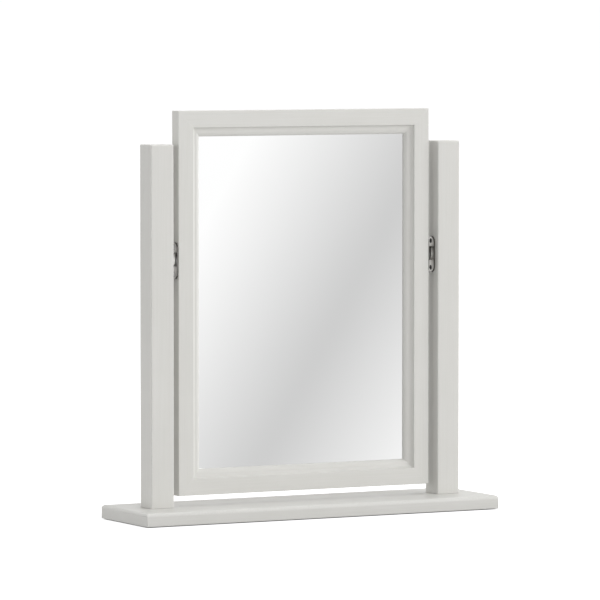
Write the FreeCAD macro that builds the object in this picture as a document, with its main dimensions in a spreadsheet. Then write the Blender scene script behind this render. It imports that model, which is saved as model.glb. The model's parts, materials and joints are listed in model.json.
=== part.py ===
"""Swing vanity mirror: a moulded frame that tilts between two posts on a base board.

Millimetres. X runs to the right, Y to the back, Z up. The origin is on the floor, under the
middle of the base board.
"""
import FreeCAD, Part
import os
import re
import Sketcher

# Driving dimensions, one row of the sheet each
SIZES = [
    # Base board and the felt pads under it
    ("base_depth", 144),
    ("base_thickness", 19),
    ("base_end_overhang", 33.7),  # base board beyond the outer face of each post
    ("base_edge_round", 5),  # along the top edges
    ("base_corner_round", 1.2),  # up the corners
    ("pad_diameter", 24),
    ("pad_thickness", 1),
    ("pad_inset", 10),  # from the board's edges to the pad's edge
    # Posts, with the dowels and the screw that hold each one
    ("post_side", 35),
    ("post_height", 503),
    ("post_edge_round", 1.3),
    ("post_dowel_diameter", 8),
    ("post_dowel_length", 36),
    ("post_dowel_spacing", 19),
    ("post_dowel_in_base", 13),
    ("post_screw_diameter", 5),
    ("post_screw_head", 10),
    ("post_screw_length", 60),
    # Frame members: flat face, cove, ovolo, then the rebates for glass and backing board
    ("frame_width", 397),
    ("frame_height", 534),
    ("frame_lift", 15),  # from the base board up to the frame
    ("member_width", 36),
    ("face_width", 23.4),
    ("cove_width", 5.2),
    ("cove_depth", 5.2),
    ("cove_flat", 0.6),  # between cove and ovolo
    ("ovolo_depth", 9.4),  # from the flat face down to the ovolo's inner end
    ("sight_edge", 1.4),
    ("rebate_width", 8),
    ("ledge_width", 8),
    ("frame_edge_ease", 0.7),
    ("corner_dowel_diameter", 6),
    ("corner_dowel_length", 18),
    ("corner_dowel_inset", 12),
    ("corner_dowel_depth", 8),
    # What the frame holds
    ("glass_thickness", 4),
    ("glass_arris", 0.5),
    ("packing_thickness", 0.8),
    ("board_thickness", 3),
    ("board_recess", 1.4),  # board's back below the frame's back
    ("board_screw_diameter", 2.5),
    ("board_screw_head", 5),
    ("board_screw_length", 9),
    ("board_screw_inset", 40),  # outer side screws from the board's ends
    ("rail_screw_spacing", 180),
    # Pivots: plates, studs, friction washers
    ("pivot_rise", 326.5),  # from the frame's lower edge up to the pivot
    ("plate_length", 51),
    ("plate_width", 18),
    ("plate_thickness", 2),
    ("plate_edge_ease", 0.5),
    ("plate_screw_spacing", 38),
    ("socket_wall", 2.8),  # beside the stud's head
    ("socket_lip", 1.6),  # over the stud's head
    ("socket_rise", 11.2),  # from the pivot up to the socket's open top
    ("plate_screw_diameter", 3),
    ("plate_screw_head", 6),
    ("plate_screw_length", 16),
    ("stud_neck_diameter", 6),
    ("stud_head_diameter", 11),
    ("stud_head_thickness", 2.3),
    ("stud_flange_diameter", 12),
    ("stud_flange_thickness", 2),
    ("stud_edge_ease", 0.6),
    ("washer_diameter", 16),
    ("washer_thickness", 0.7),
    ("washer_height", 2.4),
    # Clearances
    ("fixing_clearance", 0.05),  # around screws, dowels and pressed shanks
    ("hole_end_clearance", 0.5),
    ("recess_clearance", 0.3),
    ("running_clearance", 0.08),  # stud's neck in the slot
    ("head_clearance", 0.2),
    ("axial_clearance", 0.35),
    ("washer_clearance", 0.05),
    ("glass_clearance", 1),
    ("board_clearance", 0.5),
    ("dowel_edge_ease", 0.8),
    ("overrun", 2),  # how far a cut runs past the wood
    # Screw heads and points, as shares of the head's or the shank's diameter
    ("screw_rim_share", 0.05),
    ("screw_point_share", 1.2),
    ("recess_arm_share", 0.28),
    ("recess_half_share", 0.06),
    ("recess_depth_share", 0.24),
]

# Sizes and places that follow from them
DERIVED = [
    ("glass_seat", "=ovolo_depth + sight_edge"),
    ("board_seat", "=glass_seat + glass_thickness + packing_thickness"),
    ("frame_thickness", "=board_seat + board_thickness + board_recess"),
    ("board_inset", "=member_width - rebate_width - ledge_width"),
    ("board_width", "=frame_width - 2 * board_inset - 2 * board_clearance"),
    ("board_height", "=frame_height - 2 * board_inset - 2 * board_clearance"),
    ("ledge_line", "=board_inset + ledge_width / 2"),
    ("glass_inset", "=member_width - rebate_width + glass_clearance"),
    ("socket_room", "=stud_head_thickness + 2 * axial_clearance"),
    ("socket_height", "=plate_thickness + socket_room + socket_lip"),
    ("side_gap", "=plate_thickness + washer_height + 2 * washer_clearance + socket_height"),
    ("stud_end", "=side_gap - plate_thickness - axial_clearance"),
    ("post_face", "=frame_width / 2 + side_gap"),
    ("post_offset", "=post_face + post_side / 2"),
    ("base_width", "=2 * post_offset + post_side + 2 * base_end_overhang"),
    ("base_top", "=pad_thickness + base_thickness"),
    ("frame_bottom", "=base_top + frame_lift"),
    ("frame_top", "=frame_bottom + frame_height"),
    ("frame_middle", "=frame_bottom + frame_height / 2"),
    ("pivot_height", "=frame_bottom + pivot_rise"),
    ("side_screw_reach", "=board_height / 2 - board_screw_inset"),
    ("rail_screw_reach", "=rail_screw_spacing / 2"),
]

X_AXIS = FreeCAD.Vector(1, 0, 0)
Y_AXIS = FreeCAD.Vector(0, 1, 0)
Z_AXIS = FreeCAD.Vector(0, 0, 1)
START, END, CENTRE = range(1, 4)  # points of a sketch line or arc
FUZZ = 1e-6  # for comparing places read from a shape

doc = FreeCAD.newDocument("VanityMirror")
sheet = doc.addObject("Spreadsheet::Sheet", "Sizes")
for row, (alias, content) in enumerate(SIZES + DERIVED, 1):
    sheet.set("A%d" % row, alias)
    sheet.set("B%d" % row, str(content))
    sheet.setAlias("B%d" % row, alias)
doc.recompute()

ALIASES = {alias for alias, content in SIZES + DERIVED}
parts = []


def sized(expression):
    """The expression with every size in it pointed at its cell of the sheet."""
    def cell(found):
        return "Sizes." + found.group() if found.group() in ALIASES else found.group()

    return re.sub(r"[a-z_]+", cell, expression)


def bind(item, prop, expression):
    item.setExpression(prop, sized(expression))


def new_body(label):
    body = doc.addObject("PartDesign::Body", label)
    body.Label = label
    parts.append(body)
    return body


def place(item, x="0", y="0", z="0", axis=Z_AXIS, angle=0):
    """Turn an item about an axis, then carry it to a place given in sizes."""
    item.Placement = FreeCAD.Placement(FreeCAD.Vector(), FreeCAD.Rotation(axis, angle))
    bind(item, "Placement.Base.x", x)
    bind(item, "Placement.Base.y", y)
    bind(item, "Placement.Base.z", z)


def origin_part(body, role):
    return next(item for item in body.Origin.OriginFeatures if item.Role == role)


def new_sketch(body, plane, offset="0"):
    sketch = body.newObject("Sketcher::SketchObject", "Sketch")
    sketch.AttachmentSupport = [(origin_part(body, plane), "")]
    sketch.MapMode = "FlatFace"
    bind(sketch, "AttachmentOffset.Base.z", offset)
    return sketch


def dimension(sketch, kind, geometry, point, now, expression):
    """A distance from the sketch's origin to a point, as drawn now, then bound to sizes."""
    number = sketch.addConstraint(Sketcher.Constraint(kind, -1, START, geometry, point, now))
    name = "%s_%d_%d" % (kind, geometry, point)
    sketch.renameConstraint(number, name)
    bind(sketch, "Constraints." + name, expression)


def outline(body, plane, points, arcs=None, hollows=None, offset="0"):
    """A closed sketch through points given in sizes.

    arcs names the sides that are arcs, bulging outwards, each with one coordinate of its centre,
    and hollows the sides that are arcs, bulging inwards.
    The sketch starts as a regular polygon on the unit circle, which its dimensions then shape.
    """
    sketch = new_sketch(body, plane, offset)
    arcs = arcs or {}
    hollows = hollows or {}
    count = len(points)
    half_turn = FreeCAD.Units.Quantity("180 deg").getValueAs("rad").Value
    turn = 2 * half_turn / count
    unit_circle = Part.Circle(FreeCAD.Vector(), Z_AXIS, 1)
    corners = [unit_circle.value(side * turn) for side in range(count + 1)]
    for side in range(count):
        if side in arcs:
            drawn = Part.ArcOfCircle(unit_circle, side * turn, (side + 1) * turn)
        elif side in hollows:
            outer_circle = Part.Circle(corners[side] + corners[side + 1], Z_AXIS, 1)
            drawn = Part.ArcOfCircle(outer_circle, side * turn + half_turn, (side + 1) * turn + half_turn)
        else:
            drawn = Part.LineSegment(corners[side], corners[side + 1])
        sketch.addGeometry(drawn, False)

    # An arc runs anticlockwise, so a hollow one starts where its side ends
    first = [END if side in hollows else START for side in range(count)]
    last = [START if side in hollows else END for side in range(count)]
    for side in range(count):
        follower = (side + 1) % count
        sketch.addConstraint(Sketcher.Constraint("Coincident", side, last[side], follower, first[follower]))
    for side, (across, along) in enumerate(points):
        dimension(sketch, "DistanceX", side, first[side], corners[side].x, across)
        dimension(sketch, "DistanceY", side, first[side], corners[side].y, along)
    for side, (kind, expression) in arcs.items():
        dimension(sketch, kind, side, CENTRE, 0, expression)
    for side, expression in hollows.items():
        centre = corners[side] + corners[side + 1]
        dimension(sketch, "DistanceX", side, CENTRE, centre.x, expression)
    return sketch


def rectangle(body, plane, width, height, offset="0"):
    """A rectangle about the sketch's origin."""
    half_width, half_height = "(%s) / 2" % width, "(%s) / 2" % height
    corners = [
        ("-" + half_width, "-" + half_height),
        (half_width, "-" + half_height),
        (half_width, half_height),
        ("-" + half_width, half_height),
    ]
    return outline(body, plane, corners, offset=offset)


def stadium(body, plane, width, length):
    """A straight-sided outline with round ends, upright about the sketch's origin."""
    radius = "%s / 2" % width
    reach = "(%s - %s) / 2" % (length, width)
    points = [
        (radius, "-" + reach),
        (radius, reach),
        ("-" + radius, reach),
        ("-" + radius, "-" + reach),
    ]
    arcs = {1: ("DistanceY", reach), 3: ("DistanceY", "-" + reach)}
    return outline(body, plane, points, arcs)


def circles(body, plane, places, diameter, offset="0"):
    """Equal circles at places given in sizes."""
    sketch = new_sketch(body, plane, offset)
    for number, (across, along) in enumerate(places):
        sketch.addGeometry(Part.Circle(FreeCAD.Vector(), Z_AXIS, 1), False)
        dimension(sketch, "DistanceX", number, CENTRE, 0, across)
        dimension(sketch, "DistanceY", number, CENTRE, 0, along)
        size = sketch.addConstraint(Sketcher.Constraint("Radius", number, 1))
        sketch.renameConstraint(size, "radius_%d" % number)
        bind(sketch, "Constraints.radius_%d" % number, "(%s) / 2" % diameter)
    return sketch


def pad(body, sketch, length, reverse=False):
    feature = body.newObject("PartDesign::Pad", "Pad")
    feature.Profile = sketch
    feature.Reversed = reverse
    bind(feature, "Length", length)
    doc.recompute()
    return feature


def pocket(body, sketch, depth, reverse=False):
    """Cut a sketch into the body, and make sure that it does cut."""
    before = body.Shape.Volume
    feature = body.newObject("PartDesign::Pocket", "Pocket")
    feature.Profile = sketch
    feature.Reversed = reverse
    bind(feature, "Length", depth)
    doc.recompute()
    if body.Shape.Volume > before - FUZZ:
        raise RuntimeError("a pocket in %s cuts nothing" % body.Label)
    return feature


def revolve(body, points):
    """Turn an outline on the XZ plane about its upright axis."""
    sketch = outline(body, "XZ_Plane", points)
    feature = body.newObject("PartDesign::Revolution", "Revolution")
    feature.Profile = sketch
    feature.ReferenceAxis = (sketch, ["V_Axis"])
    feature.Angle = 360
    doc.recompute()
    return feature


def soften(body, kind, size_prop, size, wanted):
    """Fillet or chamfer the edges of the body whose bounding box passes the test."""
    base = body.Tip
    edges = base.Shape.Edges
    names = ["Edge%d" % number for number, edge in enumerate(edges, 1) if wanted(edge.BoundBox)]
    feature = body.newObject("PartDesign::" + kind, kind)
    feature.Base = (base, names)
    bind(feature, size_prop, size)
    doc.recompute()
    return feature


def fillet(body, radius, wanted):
    return soften(body, "Fillet", "Radius", radius, wanted)


def chamfer(body, size, wanted):
    return soften(body, "Chamfer", "Size", size, wanted)


def countersunk_holes(body, plane, places, screw, offset="0", reverse=False):
    """Clearance holes for countersunk screws, from the sketch's plane right through the body."""
    bore = "%s_diameter + 2 * fixing_clearance" % screw
    sketch = circles(body, plane, places, bore, offset)
    doc.recompute()
    before = body.Shape.Volume
    hole = body.newObject("PartDesign::Hole", "Hole")
    hole.Profile = sketch
    doc.recompute()
    hole.ThreadType = "None"
    hole.HoleCutType = "Countersink"
    hole.HoleCutCustomValues = True
    hole.HoleCutCountersinkAngle = 90
    hole.DepthType = "ThroughAll"
    hole.Reversed = reverse
    bind(hole, "Diameter", bore)
    bind(hole, "HoleCutDiameter", "(1 + 2 * screw_rim_share) * %s_head + 2 * fixing_clearance" % screw)
    doc.recompute()
    if body.Shape.Volume > before - FUZZ:
        raise RuntimeError("a hole in %s cuts nothing" % body.Label)


def pattern(body, *rows):
    """Repeat all of a body along one or two of its origin's axes: (axis, length, count)."""
    feature = body.newObject("PartDesign::LinearPattern", "LinearPattern")
    feature.TransformMode = "Whole shape"
    for suffix, (axis, length, count) in zip(("", "2"), rows):
        setattr(feature, "Direction" + suffix, (origin_part(body, axis), [""]))
        setattr(feature, "Occurrences" + suffix, count)
        bind(feature, "Length" + suffix, length)
    body.Tip = feature
    doc.recompute()


def make_screw(label, screw):
    """A countersunk screw along +Z, its head's flat face at the origin, with a cross recess."""
    body = new_body(label)
    head = "%s_head / 2" % screw
    rim = "%s_head * screw_rim_share" % screw
    shank = "%s_diameter / 2" % screw
    length = "%s_length" % screw
    point = "%s_diameter * screw_point_share" % screw
    revolve(body, [
        ("0", "0"),
        (head, "0"),
        (head, rim),
        (shank, "%s + %s - %s" % (rim, head, shank)),
        (shank, "%s - %s" % (length, point)),
        ("0", length),
    ])
    arm = "%s_head * recess_arm_share" % screw
    half = "%s_head * recess_half_share" % screw
    far, near = "-" + arm, "-" + half
    cross = [
        (arm, near), (arm, half), (half, half), (half, arm),
        (near, arm), (near, half), (far, half), (far, near),
        (near, near), (near, far), (half, far), (half, near),
    ]
    pocket(body, outline(body, "XY_Plane", cross), "%s_head * recess_depth_share" % screw, reverse=True)
    return body


def make_dowel(label, dowel):
    """A chamfered dowel along Z, about the origin."""
    body = new_body(label)
    half = "%s_length / 2" % dowel
    sketch = circles(body, "XY_Plane", [("0", "0")], "%s_diameter" % dowel, offset="-" + half)
    pad(body, sketch, "%s_length" % dowel)
    chamfer(body, "dowel_edge_ease", lambda box: box.ZLength < FUZZ)
    return body


def make_base():
    """Base board with its top edges rounded over and its corners eased, drilled for both posts."""
    body = new_body("base_board")
    board = pad(body, rectangle(body, "XY_Plane", "base_width", "base_depth"), "base_thickness")
    top = board.Shape.BoundBox.ZMax
    fillet(body, "base_edge_round", lambda box: box.ZMin > top - FUZZ)
    fillet(body, "base_corner_round", lambda box: box.XLength < FUZZ and box.YLength < FUZZ)
    screws = [("-post_offset", "0"), ("post_offset", "0")]
    countersunk_holes(body, "XY_Plane", screws, "post_screw", reverse=True)
    dowels = []
    for side in ("-", ""):
        for end in ("-", ""):
            dowels.append((side + "post_offset", end + "post_dowel_spacing / 2"))
    bore = "post_dowel_diameter + 2 * fixing_clearance"
    holes = circles(body, "XY_Plane", dowels, bore, offset="base_thickness")
    pocket(body, holes, "post_dowel_in_base + hole_end_clearance")
    place(body, z="pad_thickness")


def make_pads():
    """Felt pads under the four corners of the base board."""
    for front, y_sign in (("front", "-"), ("back", "")):
        for side, x_sign in (("left", "-"), ("right", "")):
            felt = doc.addObject("Part::Cylinder", "Pad")
            felt.Label = "%s_%s_pad" % (front, side)
            parts.append(felt)
            bind(felt, "Radius", "pad_diameter / 2")
            bind(felt, "Height", "pad_thickness")
            place(
                felt,
                x=x_sign + "(base_width / 2 - pad_inset - pad_diameter / 2)",
                y=y_sign + "(base_depth / 2 - pad_inset - pad_diameter / 2)",
            )


def make_post(side, x_sign, turn):
    """A square post whose +X face, before it is turned, looks at the frame."""
    body = new_body("%s_post" % side)
    wood = pad(body, rectangle(body, "XY_Plane", "post_side", "post_side"), "post_height")
    floor = wood.Shape.BoundBox.ZMin
    fillet(body, "post_edge_round", lambda box: box.ZMax > floor + FUZZ)

    # Holes in the foot, for the screw and the dowels
    screw_bore = circles(body, "XY_Plane", [("0", "0")], "post_screw_diameter + 2 * fixing_clearance")
    pocket(body, screw_bore, "post_screw_length - base_thickness + hole_end_clearance", reverse=True)
    places = [("0", "-post_dowel_spacing / 2"), ("0", "post_dowel_spacing / 2")]
    dowel_bores = circles(body, "XY_Plane", places, "post_dowel_diameter + 2 * fixing_clearance")
    pocket(body, dowel_bores, "post_dowel_length - post_dowel_in_base + hole_end_clearance", reverse=True)

    # Pilot holes in the inner face, for the plate's screws
    places = [("0", "frame_lift + pivot_rise %s plate_screw_spacing / 2" % sign) for sign in "-+"]
    bore = "plate_screw_diameter + 2 * fixing_clearance"
    pilots = circles(body, "YZ_Plane", places, bore, offset="post_side / 2")
    pocket(body, pilots, "plate_screw_length - plate_thickness + hole_end_clearance")
    place(body, x=x_sign + "post_offset", z="base_top", angle=turn)


def make_post_fixings(side, x_sign):
    """The dowels and the screw between a post and the base board."""
    dowels = make_dowel("%s_post_dowels" % side, "post_dowel")
    pattern(dowels, ("Y_Axis", "post_dowel_spacing", 2))
    place(
        dowels,
        x=x_sign + "post_offset",
        y="-post_dowel_spacing / 2",
        z="base_top - post_dowel_in_base + post_dowel_length / 2",
    )
    screw = make_screw("%s_post_screw" % side, "post_screw")
    place(screw, x=x_sign + "post_offset", z="pad_thickness")


def make_member(label, length, screw_places):
    """A mitred frame member along +Z: X runs in from its outer edge, Y back from its face."""
    body = new_body(label)
    profile = [
        ("0", "0"),
        ("face_width", "0"),
        ("face_width + cove_width", "cove_depth"),
        ("face_width + cove_width + cove_flat", "cove_depth"),
        ("member_width", "ovolo_depth"),
        ("member_width", "glass_seat"),
        ("member_width - rebate_width", "glass_seat"),
        ("member_width - rebate_width", "board_seat"),
        ("board_inset", "board_seat"),
        ("board_inset", "frame_thickness"),
        ("0", "frame_thickness"),
    ]
    ovolo = {3: ("DistanceX", "face_width + cove_width + cove_flat")}
    cove = {1: "face_width + cove_width"}
    wood = pad(body, outline(body, "XY_Plane", profile, ovolo, cove), length)
    outer = wood.Shape.BoundBox.XMin
    face = wood.Shape.BoundBox.YMin
    inner = wood.Shape.BoundBox.XMax

    def is_eased(box):
        along = box.ZLength > FUZZ and box.XLength < FUZZ and box.YLength < FUZZ
        return along and (box.XMin < outer + FUZZ or box.YMin < face + FUZZ) and box.XMin < inner - FUZZ

    fillet(body, "frame_edge_ease", is_eased)

    # Mitres
    for start, away in (("0", "-"), (length, "+")):
        toward = "+" if away == "-" else "-"
        corner = [
            ("-overrun", "%s %s overrun" % (start, away)),
            ("member_width + overrun", "%s %s overrun" % (start, away)),
            ("member_width + overrun", "%s %s (member_width + overrun)" % (start, toward)),
        ]
        pocket(body, outline(body, "XZ_Plane", corner), "frame_thickness + overrun")

    # Holes for the corner dowels, square to the mitres
    for along, turn in (("corner_dowel_inset", -45), ("%s - corner_dowel_inset" % length, -135)):
        hole = body.newObject("PartDesign::SubtractiveCylinder", "DowelHole")
        hole.AttachmentSupport = [(origin_part(body, "XY_Plane"), "")]
        hole.MapMode = "FlatFace"
        hole.AttachmentOffset = FreeCAD.Placement(FreeCAD.Vector(), FreeCAD.Rotation(Y_AXIS, turn))
        bind(hole, "AttachmentOffset.Base.x", "corner_dowel_inset")
        bind(hole, "AttachmentOffset.Base.y", "corner_dowel_depth")
        bind(hole, "AttachmentOffset.Base.z", along)
        bind(hole, "Radius", "corner_dowel_diameter / 2 + fixing_clearance")
        bind(hole, "Height", "corner_dowel_length / 2 + hole_end_clearance")
        doc.recompute()

    # Pilot holes in the ledge, for the backing board's screws
    places = [("ledge_line", along) for along in screw_places]
    bore = "board_screw_diameter + 2 * fixing_clearance"
    pilots = circles(body, "XZ_Plane", places, bore, offset="-board_seat")
    pocket(body, pilots, "board_screw_length - board_thickness + hole_end_clearance", reverse=True)
    return body


def drill_stile(body, pivot):
    """Holes in a stile's outer edge, for the frame plate's screws and the stud's flange."""
    centre = "frame_thickness / 2"
    places = [(centre, "%s %s plate_screw_spacing / 2" % (pivot, sign)) for sign in "-+"]
    pilots = circles(body, "YZ_Plane", places, "plate_screw_diameter + 2 * fixing_clearance")
    pocket(body, pilots, "plate_screw_length - plate_thickness + hole_end_clearance", reverse=True)
    recess = circles(body, "YZ_Plane", [(centre, pivot)], "stud_flange_diameter + 2 * recess_clearance")
    pocket(body, recess, "stud_flange_thickness + recess_clearance", reverse=True)


def make_frame():
    """Two stiles and two rails, each laid with its moulding inwards."""
    middle = "frame_height / 2"
    side_places = [middle + " - side_screw_reach", middle, middle + " + side_screw_reach"]
    end_places = ["frame_width / 2 - rail_screw_reach", "frame_width / 2 + rail_screw_reach"]
    face = "-frame_thickness / 2"

    left = make_member("left_stile", "frame_height", side_places)
    drill_stile(left, "pivot_rise")
    place(left, x="-frame_width / 2", y=face, z="frame_bottom")

    right = make_member("right_stile", "frame_height", side_places)
    drill_stile(right, "frame_height - pivot_rise")
    place(right, x="frame_width / 2", y=face, z="frame_top", axis=Y_AXIS, angle=180)

    top = make_member("top_rail", "frame_width", end_places)
    place(top, x="-frame_width / 2", y=face, z="frame_top", axis=Y_AXIS, angle=90)

    bottom = make_member("bottom_rail", "frame_width", end_places)
    place(bottom, x="frame_width / 2", y=face, z="frame_bottom", axis=Y_AXIS, angle=-90)


def make_corner_dowels():
    for level, height in (("bottom", "frame_bottom + corner_dowel_inset"),
                          ("top", "frame_top - corner_dowel_inset")):
        for side, x_sign in (("left", "-"), ("right", "")):
            dowel = make_dowel("%s_%s_dowel" % (level, side), "corner_dowel")
            leans_left = (level == "bottom") == (side == "left")
            place(
                dowel,
                x=x_sign + "(frame_width / 2 - corner_dowel_inset)",
                y="corner_dowel_depth - frame_thickness / 2",
                z=height,
                axis=Y_AXIS,
                angle=-45 if leans_left else 45,
            )


def make_sheet(label, width, height, thickness, depth):
    """An upright sheet in the frame, its face at a depth below the frame's face."""
    body = new_body(label)
    pad(body, rectangle(body, "XZ_Plane", width, height), thickness, reverse=True)
    place(body, y="%s - frame_thickness / 2" % depth, z="frame_middle")
    return body


def make_glazing():
    """The mirror glass, the packing behind it, the backing board and its screws."""
    glass_size = ("frame_width - 2 * glass_inset", "frame_height - 2 * glass_inset")
    glass = make_sheet("mirror_glass", *glass_size, "glass_thickness", "glass_seat")
    chamfer(glass, "glass_arris", lambda box: box.YLength < FUZZ)
    make_sheet("packing_sheet", *glass_size, "packing_thickness", "glass_seat + glass_thickness")

    board = make_sheet("backing_board", "board_width", "board_height", "board_thickness", "board_seat")
    side_line = "frame_width / 2 - ledge_line"
    end_line = "frame_height / 2 - ledge_line"
    places = []
    for sign in ("-", ""):
        places += [("%s(%s)" % (sign, side_line), up) for up in ("-side_screw_reach", "0", "side_screw_reach")]
        places += [(across, "%s(%s)" % (sign, end_line)) for across in ("-rail_screw_reach", "rail_screw_reach")]
    countersunk_holes(board, "XZ_Plane", places, "board_screw", "-board_thickness", reverse=True)

    back = "board_seat + board_thickness - frame_thickness / 2"
    side_screws = make_screw("backing_side_screws", "board_screw")
    columns = ("X_Axis", "2 * (%s)" % side_line, 2)
    pattern(side_screws, columns, ("Y_Axis", "2 * side_screw_reach", 3))
    place(side_screws, "-(%s)" % side_line, back, "frame_middle - side_screw_reach", X_AXIS, 90)

    end_screws = make_screw("backing_end_screws", "board_screw")
    columns = ("X_Axis", "2 * rail_screw_reach", 2)
    pattern(end_screws, columns, ("Y_Axis", "2 * (%s)" % end_line, 2))
    place(end_screws, "-rail_screw_reach", back, "frame_middle - (%s)" % end_line, X_AXIS, 90)


def make_plate(label):
    """A round-ended plate, flat on the YZ plane, with its front edge eased."""
    body = new_body(label)
    metal = pad(body, stadium(body, "YZ_Plane", "plate_width", "plate_length"), "plate_thickness")
    front = metal.Shape.BoundBox.XMax
    fillet(body, "plate_edge_ease", lambda box: box.XMin > front - FUZZ)
    return body


def drill_plate(body):
    """Countersunk holes near a plate's ends."""
    places = [("0", "%splate_screw_spacing / 2" % sign) for sign in ("-", "")]
    countersunk_holes(body, "YZ_Plane", places, "plate_screw", "plate_thickness")


def socket_outline(body, radius, rise, offset="0"):
    """A round-bottomed outline about the pivot, with straight sides up to a rise above it."""
    points = [
        (radius, rise),
        ("-(%s)" % radius, rise),
        ("-(%s)" % radius, "0"),
        (radius, "0"),
    ]
    return outline(body, "YZ_Plane", points, {2: ("DistanceY", "0")}, offset=offset)


def make_post_plate(side, x_sign, turn):
    """The plate on a post, with a socket for the stud's head that is open at the top."""
    body = make_plate("%s_post_plate" % side)
    room = "stud_head_diameter / 2 + head_clearance"
    block = pad(body, socket_outline(body, room + " + socket_wall", "socket_rise"), "socket_height")
    front = block.Shape.BoundBox.XMax
    fillet(body, "plate_edge_ease", lambda box: box.XMin > front - FUZZ and box.ZLength > FUZZ)
    past_top = "socket_rise + overrun"
    pocket(body, socket_outline(body, room, past_top, "plate_thickness + socket_room"), "socket_room")
    neck = "stud_neck_diameter / 2 + running_clearance"
    pocket(body, socket_outline(body, neck, past_top, "socket_height"), "socket_lip + axial_clearance")
    drill_plate(body)
    place(body, x=x_sign + "post_face", z="pivot_height", angle=turn)


def make_frame_plate(side, x_sign, turn):
    """The plate on the frame, bored for the stud's neck."""
    body = make_plate("%s_frame_plate" % side)
    bore = circles(body, "YZ_Plane", [("0", "0")], "stud_neck_diameter + 2 * fixing_clearance")
    pocket(body, bore, "plate_thickness + overrun", reverse=True)
    drill_plate(body)
    place(body, x=x_sign + "frame_width / 2", z="pivot_height", angle=turn)


def make_stud(side, x_sign, turn):
    """The pivot stud: a flange behind the frame plate, a neck and a head."""
    body = new_body("%s_pivot_stud" % side)
    flange, neck, head = ("stud_%s_diameter / 2" % name for name in ("flange", "neck", "head"))
    head_start = "stud_end - stud_head_thickness"
    revolve(body, [
        ("0", "-stud_flange_thickness"),
        (flange, "-stud_flange_thickness"),
        (flange, "0"),
        (neck, "0"),
        (neck, head_start),
        (head, head_start),
        (head, "stud_end - stud_edge_ease"),
        ("%s - stud_edge_ease" % head, "stud_end"),
        ("0", "stud_end"),
    ])
    place(body, x=x_sign + "frame_width / 2", z="pivot_height", axis=Y_AXIS, angle=turn)


def make_washer(side, x_sign, turn):
    """The dished friction washer between the frame plate and the socket."""
    body = new_body("%s_friction_washer" % side)
    rim = "washer_diameter / 2"
    bore = "stud_neck_diameter / 2 + recess_clearance"
    seat = "plate_thickness + washer_clearance"
    revolve(body, [
        (bore, seat + " + washer_height - washer_thickness"),
        (rim, seat),
        (rim, seat + " + washer_thickness"),
        (bore, seat + " + washer_height"),
    ])
    place(body, x=x_sign + "frame_width / 2", z="pivot_height", axis=Y_AXIS, angle=turn)


def make_plate_screws(label, x, z, turn):
    """Two screws through a plate, one above the other."""
    screws = make_screw(label, "plate_screw")
    pattern(screws, ("X_Axis", "plate_screw_spacing", 2))
    place(screws, x=x, z=z, axis=Y_AXIS, angle=turn)


def make_pivots():
    """Plates, studs, washers and screws of both pivots."""
    for side, x_sign, post_turn, frame_turn in (("left", "-", 0, 180), ("right", "", 180, 0)):
        make_post_plate(side, x_sign, post_turn)
        make_frame_plate(side, x_sign, frame_turn)
        outward = -90 if side == "left" else 90
        make_stud(side, x_sign, outward)
        make_washer(side, x_sign, outward)

    post_x = "(post_face - plate_thickness)"
    frame_x = "(frame_width / 2 + plate_thickness)"
    low, high = ("pivot_height %s plate_screw_spacing / 2" % sign for sign in "-+")
    make_plate_screws("left_post_plate_screws", "-" + post_x, low, -90)
    make_plate_screws("right_post_plate_screws", post_x, high, 90)
    make_plate_screws("left_frame_plate_screws", "-" + frame_x, high, 90)
    make_plate_screws("right_frame_plate_screws", frame_x, low, -90)


def check_document():
    """Stop if anything failed to build."""
    for item in doc.Objects:
        if "Invalid" in item.State or "Error" in item.State:
            raise RuntimeError("%s failed: %s" % (item.Label, item.State))
    for item in parts:
        if item.Shape.isNull() or not item.Shape.isValid():
            raise RuntimeError("%s has no valid shape" % item.Label)


make_base()
make_pads()
make_post("left", "-", 0)
make_post("right", "", 180)
make_post_fixings("left", "-")
make_post_fixings("right", "")
make_frame()
make_corner_dowels()
make_glazing()
make_pivots()
doc.recompute()
check_document()
os.makedirs("parts", exist_ok=True)
for item in parts:
    item.Shape.exportStep("parts/%s.step" % item.Label)
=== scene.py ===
"""Swing vanity mirror in satin grey paint, with silvered glass and nickel pivots, in a white studio."""
import json
import math

import bmesh
import bpy
from mathutils import Matrix, Vector


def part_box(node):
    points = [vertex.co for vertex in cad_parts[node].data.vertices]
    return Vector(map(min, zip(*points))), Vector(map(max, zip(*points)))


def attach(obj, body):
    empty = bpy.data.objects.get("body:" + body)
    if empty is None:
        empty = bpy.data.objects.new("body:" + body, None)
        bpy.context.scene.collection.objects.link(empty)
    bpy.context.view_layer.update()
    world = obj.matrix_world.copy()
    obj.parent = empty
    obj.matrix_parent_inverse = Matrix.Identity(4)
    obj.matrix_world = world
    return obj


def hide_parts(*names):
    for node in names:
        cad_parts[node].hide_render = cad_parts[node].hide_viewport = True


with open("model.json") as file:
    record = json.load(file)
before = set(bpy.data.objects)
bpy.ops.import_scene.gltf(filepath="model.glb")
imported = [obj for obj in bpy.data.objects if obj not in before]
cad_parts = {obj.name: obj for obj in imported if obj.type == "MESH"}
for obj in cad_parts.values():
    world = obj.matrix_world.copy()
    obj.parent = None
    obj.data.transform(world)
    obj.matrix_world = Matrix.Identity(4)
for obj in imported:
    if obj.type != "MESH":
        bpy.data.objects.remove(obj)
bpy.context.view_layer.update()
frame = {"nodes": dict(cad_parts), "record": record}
nodes = frame["nodes"]

# Camera, fitted to the photograph's edges: pixels of the 600 pixel frame, degrees, metres
FRAME_PIXELS = 600
FOCAL_PIXELS = 5046.4
SENSOR_MM = 36
CAMERA_TURN = 28.07  # to the left of the mirror's front
CAMERA_PITCH = 3.34  # looking down
CAMERA_DISTANCE = 7.083
CAMERA_REACH = 100  # farthest thing that it shows
AIM_ACROSS = -0.00265  # along the picture's width
AIM_HEIGHT = 0.30165

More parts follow.
